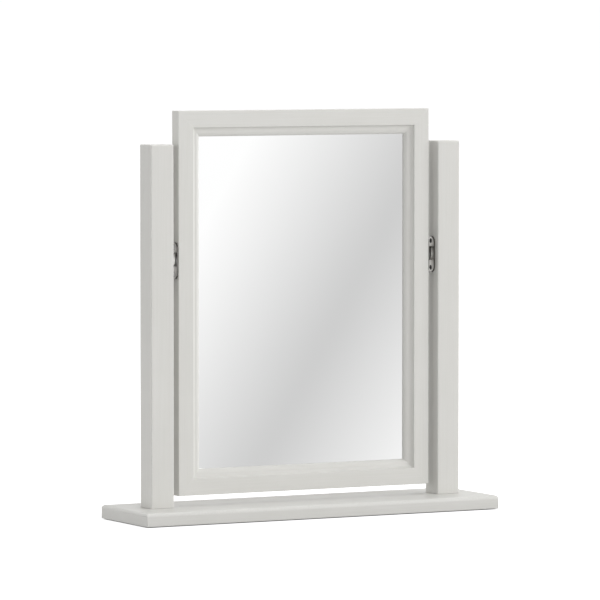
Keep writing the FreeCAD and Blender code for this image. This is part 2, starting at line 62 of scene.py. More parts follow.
# Painted wood, metres
BASE_TOP_ROUND = 0.005
BASE_CORNER_EASE = 0.0009
BASE_UNDER_EASE = 0.001
POST_EDGE_ROUND = 0.0015
POST_FOOT_EASE = 0.0008
COUNTERSINK_SPREAD = 1.11  # of the screw head's radius
POST_SCREW_SHANK = 0.0026
SCREW_BORE_DEPTH = 0.012
MEMBER_WIDTH = 0.036
FACE_WIDTH = 0.0234
COVE_WIDTH = 0.0052
COVE_DEPTH = 0.0052
COVE_FLAT = 0.0006
OVOLO_DEPTH = 0.0094
SIGHT_EDGE = 0.0014
REBATE_WIDTH = 0.008
LEDGE_WIDTH = 0.008
GLASS_THICKNESS = 0.004
PACKING_THICKNESS = 0.0008
FRAME_EDGE_EASE = 0.0007
MOULDING_EASE = 0.0004
CURVE_STEPS = 10  # facets across the cove and across the ovolo

# Pivot fittings, metres
PLATE_THICKNESS = 0.002
PLATE_EDGE_EASE = 0.0005
PLATE_BAND = 0.0004  # painted shade along the plate's edges and holes
PLATE_SCREW_SPACING = 0.038
PLATE_COUNTERSINK = 0.00335
PLATE_SCREW_BORE = 0.00155
SOCKET_HEAD_ROOM = 0.0057
SOCKET_WALL = 0.0028
SOCKET_LIP = 0.0016
SOCKET_RISE = 0.0112
STUD_NECK = 0.003
STUD_HEAD = 0.0055
STUD_HEAD_THICKNESS = 0.0023
STUD_FLANGE = 0.006
STUD_FLANGE_THICKNESS = 0.002
STUD_CHAMFER = 0.0006
NECK_CLEARANCE = 0.00008
EDGE_SHADE_BAND = 0.0009  # how far the painted edge shade creeps in from an edge
WASHER_BORE = 0.0033
WASHER_THICKNESS = 0.0007
WASHER_BAND = 0.0005
SEAT_CLEARANCE = 0.00005

PAD_EDGE_EASE = 0.0003
EDGE_MARK_BAND = 0.0012  # how far the edge wear and the painted highlight along edges creep in from an edge
FULL_EDGE_TURN = math.radians(20)  # a turn of the surface that counts as a full edge
WIDE_FLAT = 0.003  # narrowest flat face that gets a border for its wear
MITRE_CORNERS = 12  # a face with more corners than this is a mitred end
SHARP_TURN = math.radians(38)
FUZZ = 1e-6  # for comparing places


def linear(*levels):
    """A colour given in display levels of 0 to 255, as scene linear values."""
    return [((level / 255 + 0.055) / 1.055) ** 2.4 for level in levels]


# Materials

def new_tree(name):
    material = bpy.data.materials.new(name)
    material.use_nodes = True
    material.node_tree.nodes.clear()
    return material, material.node_tree


def add(tree, kind, settings=None, **inputs):
    """A shader node, with each input linked to a socket or set to a value."""
    made = tree.nodes.new("ShaderNode" + kind)
    for name, value in (settings or {}).items():
        setattr(made, name, value)
    for name, value in inputs.items():
        socket = made.inputs[name.replace("_", " ")]
        if isinstance(value, bpy.types.NodeSocket):
            tree.links.new(value, socket)
        else:
            socket.default_value = value
    return made


def object_place(tree, stretch=(1, 1, 1)):
    """The place on the piece, stretched along its axes."""
    coordinates = add(tree, "TexCoord")
    mapping = add(tree, "Mapping", Vector=coordinates.outputs["Object"], Scale=stretch)
    return mapping.outputs["Vector"]


def noise(tree, place, scale, detail=3.0, roughness=0.5):
    made = add(tree, "TexNoise", Vector=place, Scale=scale, Detail=detail, Roughness=roughness)
    return made.outputs["Fac"]


def spread(tree, value, low, high, start=0.3, end=0.7):
    """A value laid out from low to high."""
    made = add(tree, "MapRange", Value=value, From_Min=start, From_Max=end, To_Min=low, To_Max=high)
    return made.outputs["Result"]


def worked_out(tree, operation, *sources):
    """The result of a maths node fed by one or two sockets."""
    made = add(tree, "Math", {"operation": operation})
    for socket, source in zip(made.inputs, sources):
        tree.links.new(source, socket)
    return made.outputs[0]


def sum_of(tree, first, second):
    return worked_out(tree, "ADD", first, second)


def product_of(tree, first, second):
    return worked_out(tree, "MULTIPLY", first, second)


def tint(tree, factor, first, second):
    """A colour between two, each a list of three or a socket."""
    made = tree.nodes.new("ShaderNodeMix")
    made.data_type = "RGBA"
    tree.links.new(factor, made.inputs[0])
    for index, colour in ((6, first), (7, second)):
        if isinstance(colour, bpy.types.NodeSocket):
            tree.links.new(colour, made.inputs[index])
        else:
            made.inputs[index].default_value = (*colour, 1)
    return made.outputs[2]


def dent(tree, height, strength, distance):
    made = add(tree, "Bump", Height=height, Strength=strength, Distance=distance)
    return made.outputs["Normal"]


def surface(tree, **inputs):
    shader = add(tree, "BsdfPrincipled", **inputs)
    add(tree, "OutputMaterial", Surface=shader.outputs["BSDF"])


def worn_and_highlit_edges(tree, place, scale):
    """Where the surface turns at an edge, broken up by noise: edge wear, and a painted highlight along the
    edges.
    """
    attribute = add(tree, "Attribute", {"attribute_name": "edge_mark"})
    patchy = spread(tree, noise(tree, place, scale, 4.0), 0.25, 1.0, 0.4, 0.6)
    return product_of(tree, attribute.outputs["Fac"], patchy)


def satin_paint(name, grain):
    """Sprayed satin paint over wood, with the grain just telegraphing through."""
    material, tree = new_tree(name)
    place = object_place(tree)
    along = object_place(tree, grain)
    grain_lines = noise(tree, along, 1, 5.0, 0.6)
    mottle = spread(tree, noise(tree, place, 14, 3.0), 0, 0.45)
    streaks = spread(tree, grain_lines, 0, 0.55, 0.35, 0.65)
    shade = tint(tree, sum_of(tree, mottle, streaks), linear(216, 215, 210), linear(221, 220, 216))
    edge_mark = worn_and_highlit_edges(tree, place, 420)
    # lighter along the edges: paint wear, and a painted highlight along the edges
    colour = tint(tree, edge_mark, shade, linear(222, 221, 217))
    peel = noise(tree, place, 620, 2.0)
    height = sum_of(tree, grain_lines, spread(tree, peel, 0, 0.6, 0, 1))
    polish = spread(tree, noise(tree, place, 45, 4.0), 0.34, 0.44)
    surface(tree, Base_Color=colour, Roughness=polish, Normal=dent(tree, height, 0.04, 0.0002))
    return material


def silvered_glass():
    material, tree = new_tree("silvered_glass")
    place = object_place(tree)
    haze = spread(tree, noise(tree, place, 6, 4.0), 0, 1)
    colour = tint(tree, haze, (0.898, 0.9, 0.899), (0.908, 0.91, 0.909))
    film = spread(tree, noise(tree, place, 25, 5.0), 0.0, 0.012, 0.4, 0.7)
    ripple = dent(tree, noise(tree, place, 2.5, 1.0), 0.02, 0.00002)
    surface(tree, Base_Color=colour, Metallic=1.0, Roughness=film, Normal=ripple)
    return material


def plated_metal(name, dull, bright, edge, polish, brush):
    """Plated metal, brushed along one axis, darkened along its edges by painted shade."""
    material, tree = new_tree(name)
    place = object_place(tree)
    brushed = noise(tree, object_place(tree, brush), 1, 3.0)
    clouds = spread(tree, noise(tree, place, 90, 3.0), 0, 1)
    plate = tint(tree, clouds, dull, bright)
    # darker along the edges and at the socket's root: painted shade, broken up by noise
    attribute = add(tree, "Attribute", {"attribute_name": "edge_mark"})
    edge_shade_breakup = spread(tree, noise(tree, place, 200, 3.0), 0.85, 1)
    painted_edge_shade = product_of(tree, attribute.outputs["Fac"], edge_shade_breakup)
    colour = tint(tree, painted_edge_shade, plate, edge)
    surface(
        tree, Base_Color=colour, Metallic=1.0, Roughness=spread(tree, brushed, *polish),
        Normal=dent(tree, brushed, 0.05, 0.00003),
    )
    return material


def brown_hardboard():
    """Pressed fibre board, smooth side out, with flecks and faint fibres."""
    material, tree = new_tree("brown_hardboard")
    place = object_place(tree)
    fibres = noise(tree, object_place(tree, (900, 900, 260)), 1, 4.0, 0.65)
    flecks = spread(tree, noise(tree, place, 340, 5.0, 0.7), 0, 1, 0.4, 0.68)
    clouds = spread(tree, noise(tree, place, 7, 4.0), 0, 1)
    ground = tint(tree, clouds, linear(126, 93, 65), linear(140, 105, 75))
    colour = tint(tree, flecks, ground, linear(105, 74, 50))
    surface(
        tree, Base_Color=colour, Roughness=spread(tree, fibres, 0.5, 0.68),
        Normal=dent(tree, fibres, 0.3, 0.0002),
    )
    return material


def bare_beech():
    material, tree = new_tree("bare_beech")
    place = object_place(tree)
    flecks = spread(tree, noise(tree, place, 700, 4.0), 0, 1)
    colour = tint(tree, flecks, linear(196, 160, 116), linear(212, 178, 136))
    surface(
        tree, Base_Color=colour, Roughness=spread(tree, flecks, 0.55, 0.7, 0, 1),
        Normal=dent(tree, flecks, 0.2, 0.0001),
    )
    return material


def white_foam():
    material, tree = new_tree("white_foam")
    place = object_place(tree)
    cells = spread(tree, noise(tree, place, 1400, 2.0), 0, 1)
    colour = tint(tree, cells, linear(226, 226, 222), linear(238, 238, 235))
    surface(
        tree, Base_Color=colour, Roughness=spread(tree, cells, 0.75, 0.9, 0, 1),
        Normal=dent(tree, cells, 0.3, 0.0001),
    )
    return material


def grey_felt():
    material, tree = new_tree("grey_felt")
    place = object_place(tree)
    fluff = noise(tree, place, 1500, 6.0, 0.7)
    colour = tint(tree, spread(tree, fluff, 0, 1), linear(70, 67, 63), linear(98, 94, 89))
    surface(
        tree, Base_Color=colour, Roughness=spread(tree, fluff, 0.85, 0.98), Sheen_Weight=0.3,
        Normal=dent(tree, fluff, 0.7, 0.0004),
    )
    return material


# Mesh helpers

def block(bm, low, high):
    """A cuboid between two corners."""
    size = high - low
    place = Matrix.Translation((low + high) / 2) @ Matrix.Diagonal((*size, 1))
    bmesh.ops.create_cube(bm, size=1, matrix=place)


def ease(bm, edges, size, segments):
    bmesh.ops.bevel(
        bm, geom=edges, affect="EDGES", offset=size, segments=segments,
        profile=0.5, material=-1, clamp_overlap=True,
    )


def edges_where(bm, wanted):
    """Edges both of whose ends pass a test."""
    return [edge for edge in bm.edges if all(wanted(vert.co) for vert in edge.verts)]


def close_to(value, target):
    return abs(value - target) < FUZZ


def hold_flats(bm):
    """Put a narrow border round each wide flat face, so that the edge wear and painted highlight stay near
    its edges.
    """
    wide = []
    for face in bm.faces:
        width = 2 * face.calc_area() / face.calc_perimeter()
        if len(face.verts) == 4 and width > WIDE_FLAT:
            wide.append(face)
    bmesh.ops.inset_individual(bm, faces=wide, thickness=EDGE_MARK_BAND, use_even_offset=True)


def is_mitre(face):
    """A mitred end, which its neighbour hides and keeps from the edge wear and painted highlight."""
    return len(face.verts) > MITRE_CORNERS


def mark_edge_turns(bm):
    """Note at each vertex how sharply the surface turns outwards there, from 0 to 1."""
    # this edge mark drives the paint's edge wear and painted highlight, and the painted shade along metal
    # edges
    edge_mark = bm.verts.layers.float.new("edge_mark")
    for vert in bm.verts:
        turn = 0
        for edge in vert.link_edges:
            if not any(is_mitre(face) for face in edge.link_faces):
                turn = max(turn, edge.calc_face_angle_signed(0))
        vert[edge_mark] = min(turn / FULL_EDGE_TURN, 1)


def show(item):
    bpy.context.scene.collection.objects.link(item)


def finish_piece(bm, name, node, body, material):
    """Make a shaped mesh into the piece that stands for a CAD node."""
    bmesh.ops.remove_doubles(bm, verts=bm.verts, dist=FUZZ)
    bmesh.ops.recalc_face_normals(bm, faces=bm.faces)
    mark_edge_turns(bm)
    for face in bm.faces:
        face.smooth = True
    for edge in bm.edges:
        edge.smooth = edge.calc_face_angle(0) < SHARP_TURN
    mesh = bpy.data.meshes.new(name)
    bm.to_mesh(mesh)
    bm.free()
    mesh.materials.append(material)
    piece = bpy.data.objects.new(name, mesh)
    show(piece)
    even = piece.modifiers.new("even_shading", "WEIGHTED_NORMAL")
    even.keep_sharp = True
    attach(piece, body)
    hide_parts(node)


# Painted wood

def bore_countersink(bm, rim, centre, shank):
    """Carry a hole's rim up its cone to the shank's size, then up a short bore."""
    radius = (rim[0].verts[0].co - centre).length
    pull = Matrix.Translation(centre)
    cone = bmesh.ops.extrude_edge_only(bm, edges=rim)["geom"]
    ring = [item for item in cone if isinstance(item, bmesh.types.BMVert)]
    shrink = shank / radius
    bmesh.ops.scale(bm, vec=(shrink, shrink, 1), space=pull.inverted(), verts=ring)
    bmesh.ops.translate(bm, vec=(0, 0, radius - shank), verts=ring)
    rim = [item for item in cone if isinstance(item, bmesh.types.BMEdge)]
    bore = bmesh.ops.extrude_edge_only(bm, edges=rim)["geom"]
    ring = [item for item in bore if isinstance(item, bmesh.types.BMVert)]
    bmesh.ops.translate(bm, vec=(0, 0, SCREW_BORE_DEPTH - radius + shank), verts=ring)
    bmesh.ops.contextual_create(bm, geom=[item for item in bore if isinstance(item, bmesh.types.BMEdge)])


def make_base_board():
    """Base board: rounded over along the top, holes underneath for the post screws."""
    low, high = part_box("base_board")
    bm = bmesh.new()
    block(bm, low, high)
    ease(bm, edges_where(bm, lambda at: close_to(at.z, high.z)), BASE_TOP_ROUND, segments=8)
    corners = [
        edge for edge in bm.edges
        if edge.calc_length() > BASE_TOP_ROUND and close_to(edge.verts[0].co.x, edge.verts[1].co.x)
        and close_to(edge.verts[0].co.y, edge.verts[1].co.y)
    ]
    ease(bm, corners, BASE_CORNER_EASE, segments=3)
    ease(bm, edges_where(bm, lambda at: close_to(at.z, low.z)), BASE_UNDER_EASE, segments=2)
    hold_flats(bm)
    under = min(bm.faces, key=lambda face: face.calc_center_median().z)
    rim = list(under.edges)
    bmesh.ops.delete(bm, geom=[under], context="FACES_ONLY")
    holes = []
    for side in ("left", "right"):
        screw_low, screw_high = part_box("%s_post_screw" % side)
        centre = (screw_low + screw_high) / 2
        centre.z = low.z
        radius = (screw_high.x - screw_low.x) / 2 * COUNTERSINK_SPREAD
        place = Matrix.Translation(centre)
        ring = bmesh.ops.create_circle(bm, segments=32, radius=radius, matrix=place)["verts"]
        edges = list({edge for vert in ring for edge in vert.link_edges})
        holes.append((edges, centre))
        rim += edges
    bmesh.ops.triangle_fill(bm, use_beauty=True, edges=rim)
    for edges, centre in holes:
        bore_countersink(bm, edges, centre, POST_SCREW_SHANK)
    finish_piece(bm, "painted_base_board", "base_board", "stand", PAINT_LEVEL)


def make_post(node):
    low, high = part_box(node)
    bm = bmesh.new()
    block(bm, low, high)
    foot = edges_where(bm, lambda at: close_to(at.z, low.z))
    ease(bm, [edge for edge in bm.edges if edge not in foot], POST_EDGE_ROUND, segments=4)
    ease(bm, edges_where(bm, lambda at: close_to(at.z, low.z)), POST_FOOT_EASE, segments=2)
    hold_flats(bm)
    finish_piece(bm, "painted_" + node, node, "stand", PAINT_UPRIGHT)


def curve(width, drop):
    """Points inside an arc that leaves the level and ends a width across and a drop down."""
    radius = (width ** 2 + drop ** 2) / (2 * drop)
    sweep = math.atan2(width, radius - drop)
    turns = [sweep * step / CURVE_STEPS for step in range(1, CURVE_STEPS)]
    return [(radius * math.sin(turn), radius * (1 - math.cos(turn))) for turn in turns]


def moulding_points(thickness):
    """The frame member's section: in from its outer edge, and back from its face."""
    glass_seat = OVOLO_DEPTH + SIGHT_EDGE
    board_seat = glass_seat + GLASS_THICKNESS + PACKING_THICKNESS
    board_inset = MEMBER_WIDTH - REBATE_WIDTH - LEDGE_WIDTH
    cove_end = FACE_WIDTH + COVE_WIDTH
    ovolo_start = cove_end + COVE_FLAT
    cove = curve(COVE_WIDTH, COVE_DEPTH)
    ovolo = curve(MEMBER_WIDTH - ovolo_start, OVOLO_DEPTH - COVE_DEPTH)
    cove = [(cove_end - across, COVE_DEPTH - drop) for across, drop in reversed(cove)]
    ovolo = [(ovolo_start + across, COVE_DEPTH + drop) for across, drop in ovolo]
    return [
        (0, 0), (FACE_WIDTH, 0), *cove, (cove_end, COVE_DEPTH), (ovolo_start, COVE_DEPTH), *ovolo,
        (MEMBER_WIDTH, OVOLO_DEPTH), (MEMBER_WIDTH, glass_seat), (MEMBER_WIDTH - REBATE_WIDTH, glass_seat),
        (MEMBER_WIDTH - REBATE_WIDTH, board_seat), (board_inset, board_seat), (board_inset, thickness),
        (0, thickness),
    ]


def make_member(node, corner, inward, along, paint):
    """A frame member: its section, extruded from mitre to mitre and its edges eased."""
    low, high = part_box(node)
    thickness = high.y - low.y
    length = max(high.x - low.x, high.z - low.z)
    points = moulding_points(thickness)
    bm = bmesh.new()
    section = bm.faces.new([bm.verts.new((across, back, across)) for across, back in points])
    far_end = bmesh.ops.extrude_face_region(bm, geom=[section])["geom"]
    for vert in (item for item in far_end if isinstance(item, bmesh.types.BMVert)):
        vert.co.z = length - vert.co.x

    def along_edges(*places):
        wanted = []
        for edge in bm.edges:
            one, two = (vert.co for vert in edge.verts)
            level = close_to(one.x, two.x) and close_to(one.y, two.y)
            if level and any(close_to(one.x, across) and close_to(one.y, back) for across, back in places):
                wanted.append(edge)
        return wanted

    outer = along_edges(points[0], points[-1], points[-2], points[1])
    ease(bm, outer, FRAME_EDGE_EASE, segments=3)
    ease(bm, along_edges((MEMBER_WIDTH, OVOLO_DEPTH)), MOULDING_EASE, segments=2)
    hold_flats(bm)
    back = Vector((0, 1, 0))
    turn = Matrix((inward, back, along)).transposed().to_4x4()
    bmesh.ops.transform(bm, matrix=Matrix.Translation(corner) @ turn, verts=bm.verts)
    finish_piece(bm, "painted_" + node, node, "mirror", paint)


def make_frame():
    """Two stiles and two rails, each with its moulding inwards."""
    low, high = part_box("left_stile")[0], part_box("right_stile")[1]
    right, up = Vector((1, 0, 0)), Vector((0, 0, 1))
    make_member("left_stile", Vector((low.x, low.y, low.z)), right, up, PAINT_UPRIGHT)
    make_member("right_stile", Vector((high.x, low.y, high.z)), -right, -up, PAINT_UPRIGHT)
    make_member("top_rail", Vector((low.x, low.y, high.z)), -up, right, PAINT_LEVEL)
    make_member("bottom_rail", Vector((high.x, low.y, low.z)), up, -right, PAINT_LEVEL)


# Pivot fittings, each shaped about the pivot with X pointing out of its seat

def ring_of_edges(bm, radius, rise, segments):
    """A circle on the YZ plane, its centre a rise above the pivot."""
    place = Matrix.Translation((0, 0, rise)) @ Matrix.Rotation(math.pi / 2, 4, "Y")
    ring = bmesh.ops.create_circle(bm, segments=segments, radius=radius, matrix=place)["verts"]
    return list({edge for vert in ring for edge in vert.link_edges})


def stadium_of_edges(bm, half_width, half_length):
    """A round-ended outline on the YZ plane."""
    reach = half_length - half_width
    ends = []
    for sign in (1, -1):
        start = bm.verts.new((0, sign * half_width, sign * reach))
        made = bmesh.ops.spin(
            bm, geom=[start], cent=(0, 0, sign * reach), axis=(1, 0, 0), angle=math.pi, steps=24,
        )["geom_last"]
        ends.append((start, made[0]))
    (top_start, top_end), (low_start, low_end) = ends
    bm.edges.new((top_end, low_start))
    bm.edges.new((low_end, top_start))
    return list(bm.edges)


def carry(bm, edges, back, scale=1.0, rise=0.0):
    """Extrude a loop of edges back along X, scaled about its own centre, and return the new loop."""
    made = bmesh.ops.extrude_edge_only(bm, edges=edges)["geom"]
    verts = [item for item in made if isinstance(item, bmesh.types.BMVert)]
    space = Matrix.Translation((0, 0, rise)).inverted()
    bmesh.ops.scale(bm, vec=(1, scale, scale), space=space, verts=verts)
    bmesh.ops.translate(bm, vec=(-back, 0, 0), verts=verts)
    return [item for item in made if isinstance(item, bmesh.types.BMEdge)]


def plate_blank(low, high, bore):
    """A round-ended plate with two countersunk holes and, if bored, a hole at the pivot."""
    bm = bmesh.new()
    rim = stadium_of_edges(bm, (high.y - low.y) / 2, (high.z - low.z) / 2)
    rises = (PLATE_SCREW_SPACING / 2, -PLATE_SCREW_SPACING / 2)
    holes = [(ring_of_edges(bm, PLATE_COUNTERSINK, rise, segments=28), rise) for rise in rises]
    edges = rim + [edge for hole, rise in holes for edge in hole]
    neck = ring_of_edges(bm, bore, 0, segments=32) if bore else []
    bmesh.ops.triangle_fill(bm, use_beauty=True, edges=edges + neck)
    back_loops = carry(bm, rim, PLATE_THICKNESS)
    cone = PLATE_COUNTERSINK - PLATE_SCREW_BORE
    for hole, rise in holes:
        waist = carry(bm, hole, cone, PLATE_SCREW_BORE / PLATE_COUNTERSINK, rise)
        back_loops += carry(bm, waist, PLATE_THICKNESS - cone)
    if neck:
        back_loops += carry(bm, neck, PLATE_THICKNESS)
    bmesh.ops.triangle_fill(bm, use_beauty=True, edges=back_loops)
    ease(bm, rim, PLATE_EDGE_EASE, segments=3)
    front = [face for face in bm.faces if all(close_to(vert.co.x, 0) for vert in face.verts)]
    # A narrow border keeps the painted edge shade near the rim and the holes.
    bmesh.ops.inset_region(bm, faces=front, thickness=PLATE_BAND, use_even_offset=True)
    bmesh.ops.translate(bm, vec=(PLATE_THICKNESS, 0, 0), verts=bm.verts)
    return bm


def add_socket(bm, height):
    """The socket on a post plate: an L section swung round below the pivot, with its arms carried up."""
    outer = SOCKET_HEAD_ROOM + SOCKET_WALL
    under_lip = height - SOCKET_LIP
    neck = STUD_NECK + NECK_CLEARANCE
    foot = PLATE_THICKNESS / 2
    # The points a band in from each rim and from the root carry the painted edge shade; at the root it
    # stands for a contact shadow.
    section = [
        (SOCKET_HEAD_ROOM, foot), (outer, foot), (outer, PLATE_THICKNESS + EDGE_SHADE_BAND),
        (outer, height - EDGE_SHADE_BAND), (outer, height), (outer - EDGE_SHADE_BAND, height),
        (neck + EDGE_SHADE_BAND, height), (neck, height), (neck, under_lip), (SOCKET_HEAD_ROOM, under_lip),
    ]
    start = bm.faces.new([bm.verts.new((out, across, 0)) for across, out in section])
    swung = bmesh.ops.spin(
        bm, geom=[start], cent=(0, 0, 0), axis=(1, 0, 0), angle=-math.pi, steps=28,
    )["geom_last"]
    far = next(item for item in swung if isinstance(item, bmesh.types.BMFace))
    for arm in (start, far):
        made = bmesh.ops.extrude_face_region(bm, geom=[arm])["geom"]
        verts = [item for item in made if isinstance(item, bmesh.types.BMVert)]
        bmesh.ops.translate(bm, vec=(0, 0, SOCKET_RISE), verts=verts)
        bmesh.ops.delete(bm, geom=[arm], context="FACES_ONLY")


def turned(outline, steps):
    """A closed outline of (radius, out) points turned about the X axis."""
    bm = bmesh.new()
    verts = [bm.verts.new((out, radius, 0)) for radius, out in outline]
    edges = [bm.edges.new(pair) for pair in zip(verts, verts[1:])]
    bmesh.ops.spin(
        bm, geom=verts + edges, cent=(0, 0, 0), axis=(1, 0, 0), angle=2 * math.pi, steps=steps,
        use_merge=True,
    )
    bmesh.ops.remove_doubles(bm, verts=bm.verts, dist=FUZZ)
    return bm


def seat(bm, place, outward):
    """Set a fitting on its seat, mirrored if it points to the left."""
    bmesh.ops.scale(bm, vec=(outward, 1, 1), verts=bm.verts)
    bmesh.ops.translate(bm, vec=place, verts=bm.verts)


def make_post_plate(node, low, high, place, outward):
    """The plate on a post, with its socket."""
    plate = plate_blank(low, high, 0)
    add_socket(plate, high.x - low.x)
    seat(plate, place, -outward)
    finish_piece(plate, "nickel_" + node, node, "stand", NICKEL)


def make_frame_plate(node, low, high, place, outward):
    """The plate on the frame, bored for the stud."""
    plate = plate_blank(low, high, STUD_NECK)
    seat(plate, place, outward)
    finish_piece(plate, "nickel_" + node, node, "mirror", NICKEL)


def make_stud(node, low, high, place, outward):
    """The pivot stud: a flange behind the frame plate, a neck and a head."""
    end = high.x - place.x if outward > 0 else place.x - low.x
    head_start = end - STUD_HEAD_THICKNESS
    stud = turned([
        (0, -STUD_FLANGE_THICKNESS), (STUD_FLANGE, -STUD_FLANGE_THICKNESS), (STUD_FLANGE, 0), (STUD_NECK, 0),
        (STUD_NECK, head_start), (STUD_HEAD, head_start), (STUD_HEAD, end - STUD_CHAMFER),
        (STUD_HEAD - STUD_CHAMFER, end), (0, end),
    ], steps=40)
    seat(stud, place, outward)
    finish_piece(stud, "nickel_" + node, node, "mirror", NICKEL)


def make_washer(node, low, high, place, outward):
    """The dished friction washer, with a band along each edge for its painted edge shade."""
    rim = (high.z - low.z) / 2
    dish = high.x - low.x
    foot = PLATE_THICKNESS + SEAT_CLEARANCE
    fall = (dish - WASHER_THICKNESS) * WASHER_BAND / (rim - WASHER_BORE)
    washer = turned([
        (WASHER_BORE, foot + dish - WASHER_THICKNESS), (rim, foot), (rim, foot + WASHER_THICKNESS),
        (rim - WASHER_BAND, foot + WASHER_THICKNESS + fall), (WASHER_BORE + WASHER_BAND, foot + dish - fall),
        (WASHER_BORE, foot + dish), (WASHER_BORE, foot + dish - WASHER_THICKNESS),
    ], steps=48)
    seat(washer, place, outward)
    finish_piece(washer, "sprung_" + node, node, "mirror", SPRING)


def make_pivot(side, outward):
    """One pivot: post plate with its socket, frame plate with its stud, and the friction washer."""
    low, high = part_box("%s_post_plate" % side)
    frame_low, frame_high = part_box("%s_frame_plate" % side)
    stud_low, stud_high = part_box("%s_pivot_stud" % side)
    washer_low, washer_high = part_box("%s_friction_washer" % side)
    pivot_height = (low.z + high.z) / 2
    post_seat = Vector((high.x if outward > 0 else low.x, 0, pivot_height))
    frame_seat = Vector((frame_low.x if outward > 0 else frame_high.x, 0, pivot_height))
    make_post_plate("%s_post_plate" % side, low, high, post_seat, outward)
    make_frame_plate("%s_frame_plate" % side, frame_low, frame_high, frame_seat, outward)
    make_stud("%s_pivot_stud" % side, stud_low, stud_high, frame_seat, outward)
    make_washer("%s_friction_washer" % side, washer_low, washer_high, frame_seat, outward)


def make_pad(node):
    """A felt disc with soft edges."""
    low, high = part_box(node)
    radius = (high.x - low.x) / 2
    depth = high.z - low.z
    bm = bmesh.new()
    bmesh.ops.create_cone(
        bm, cap_ends=True, segments=40, radius1=radius, radius2=radius, depth=depth,
        matrix=Matrix.Translation((low + high) / 2),
    )
    level = [edge for edge in bm.edges if close_to(edge.verts[0].co.z, edge.verts[1].co.z)]
    ease(bm, level, PAD_EDGE_EASE, segments=3)
    finish_piece(bm, "felt_" + node, node, "stand", FELT)


# Studio

FLOOR_REACH = 20
FLOOR_NEAR = (0.48, 0.48, 0.48)  # beside the base, greyer so that less light bounces up at it
FLOOR_FAR = (0.7, 0.7, 0.7)
FLOOR_TURN = 0.15  # from the one colour to the other
FLOOR_GLOW = 0.8  # seen by the camera and in reflections
FLOOR_FALL = 0.62  # of that glow is lost in reflections, where the fall is greatest
FLOOR_FALL_RING = (0.5, 2.2, 7)  # from the part: where the fall starts, is greatest and ends
CONTACT_BAND = 0.004
WORLD_LEVEL = 0.33
BACKGROUND_LEVEL = 1.02  # seen by the camera and in reflections
LAMP_AIM = Vector((0, 0, 0.25))
# Each lamp's place, its width and its watts
LAMPS = {
    "key_right": ((11.8, -6.1, 2.9), 5.8, 616),
    "key_front": ((8.5, -10.1, 2.9), 5.8, 316),
    "front": ((0.2, -4.6, 1.0), 1.9, 20),
    "top": ((0.3, 0.0, 3.4), 2.0, 52),
    "left_front": ((-4.4, -2.2, 1.0), 1.9, 20),
    "left_back": ((-4.4, 1.2, 0.9), 1.7, 33),
}
CARD_DISTANCE = 0.72
CARD_WIDTH = 0.72
CARD_VALLEY = 0.686  # darkest level of the card's sweep
CARD_RISE = 0.25  # from its darkest line out to white
CARD_FADE = 0.09  # from its border inwards
CARD_PEAK = 1.105  # white in the silvered glass
CARD_SOFTNESS = 0.02
CARD_LEAN = (0.88, -0.47)  # across the dark line, in the card's plane
CARD_OFFSET = 0.064


def seen_in_picture(tree):
    """1 for rays from the camera, also by reflection or through glass, and 0 for light on the part."""
    path = add(tree, "LightPath")
    either = sum_of(tree, path.outputs["Is Camera Ray"], path.outputs["Is Glossy Ray"])
    any_of = sum_of(tree, either, path.outputs["Is Transmission Ray"])
    clamp = add(tree, "Clamp", Value=any_of)
    straight = spread(tree, path.outputs["Diffuse Depth"], 1, 0, 0, 1)
    return product_of(tree, clamp.outputs["Result"], straight)


def view_axes():
    turn, pitch = math.radians(CAMERA_TURN), math.radians(CAMERA_PITCH)
    ahead = Vector((math.sin(turn) * math.cos(pitch), math.cos(turn) * math.cos(pitch), -math.sin(pitch)))
    across = Vector((math.cos(turn), -math.sin(turn), 0))
    return ahead, across


def add_camera():
    ahead, across = view_axes()
    data = bpy.data.cameras.new("photo_camera")
    data.sensor_width = SENSOR_MM
    data.lens = SENSOR_MM * FOCAL_PIXELS / FRAME_PIXELS
    data.clip_end = CAMERA_REACH
    camera = bpy.data.objects.new("photo_camera", data)
    camera.location = across * AIM_ACROSS + Vector((0, 0, AIM_HEIGHT)) - ahead * CAMERA_DISTANCE
    camera.rotation_euler = ahead.to_track_quat("-Z", "Y").to_euler()
    show(camera)
    bpy.context.scene.camera = camera


def past_base(tree, start, end):
    """How far a place on the floor is outside the base board's outline: 0 at the start, 1 at the end."""
    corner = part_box("base_board")[1]
    place = add(tree, "SeparateXYZ", Vector=object_place(tree))
    outside = []
    for axis, half in (("X", corner.x), ("Y", corner.y)):
        size = worked_out(tree, "ABSOLUTE", place.outputs[axis])
        outside.append(spread(tree, size, 0, 1, half + start, half + end))
    return worked_out(tree, "MAXIMUM", *outside)


def reflected_fall(tree):
    """1 or, in reflections, less in a soft ring round the part, so that a mirror shows a change of grey."""
    start, greatest, end = FLOOR_FALL_RING
    away = add(tree, "VectorMath", {"operation": "LENGTH"}, Vector=object_place(tree)).outputs["Value"]
    soft = {"interpolation_type": "SMOOTHSTEP"}
    deepens = add(
        tree, "MapRange", soft, Value=away, From_Min=start, From_Max=greatest, To_Min=0, To_Max=FLOOR_FALL,
    )
    fades = add(tree, "MapRange", soft, Value=away, From_Min=greatest, From_Max=end, To_Min=1, To_Max=0)
    ring = product_of(tree, deepens.outputs["Result"], fades.outputs["Result"])
    lost = product_of(tree, ring, add(tree, "LightPath").outputs["Is Glossy Ray"])
    return spread(tree, lost, 1, 0, 0, 1)


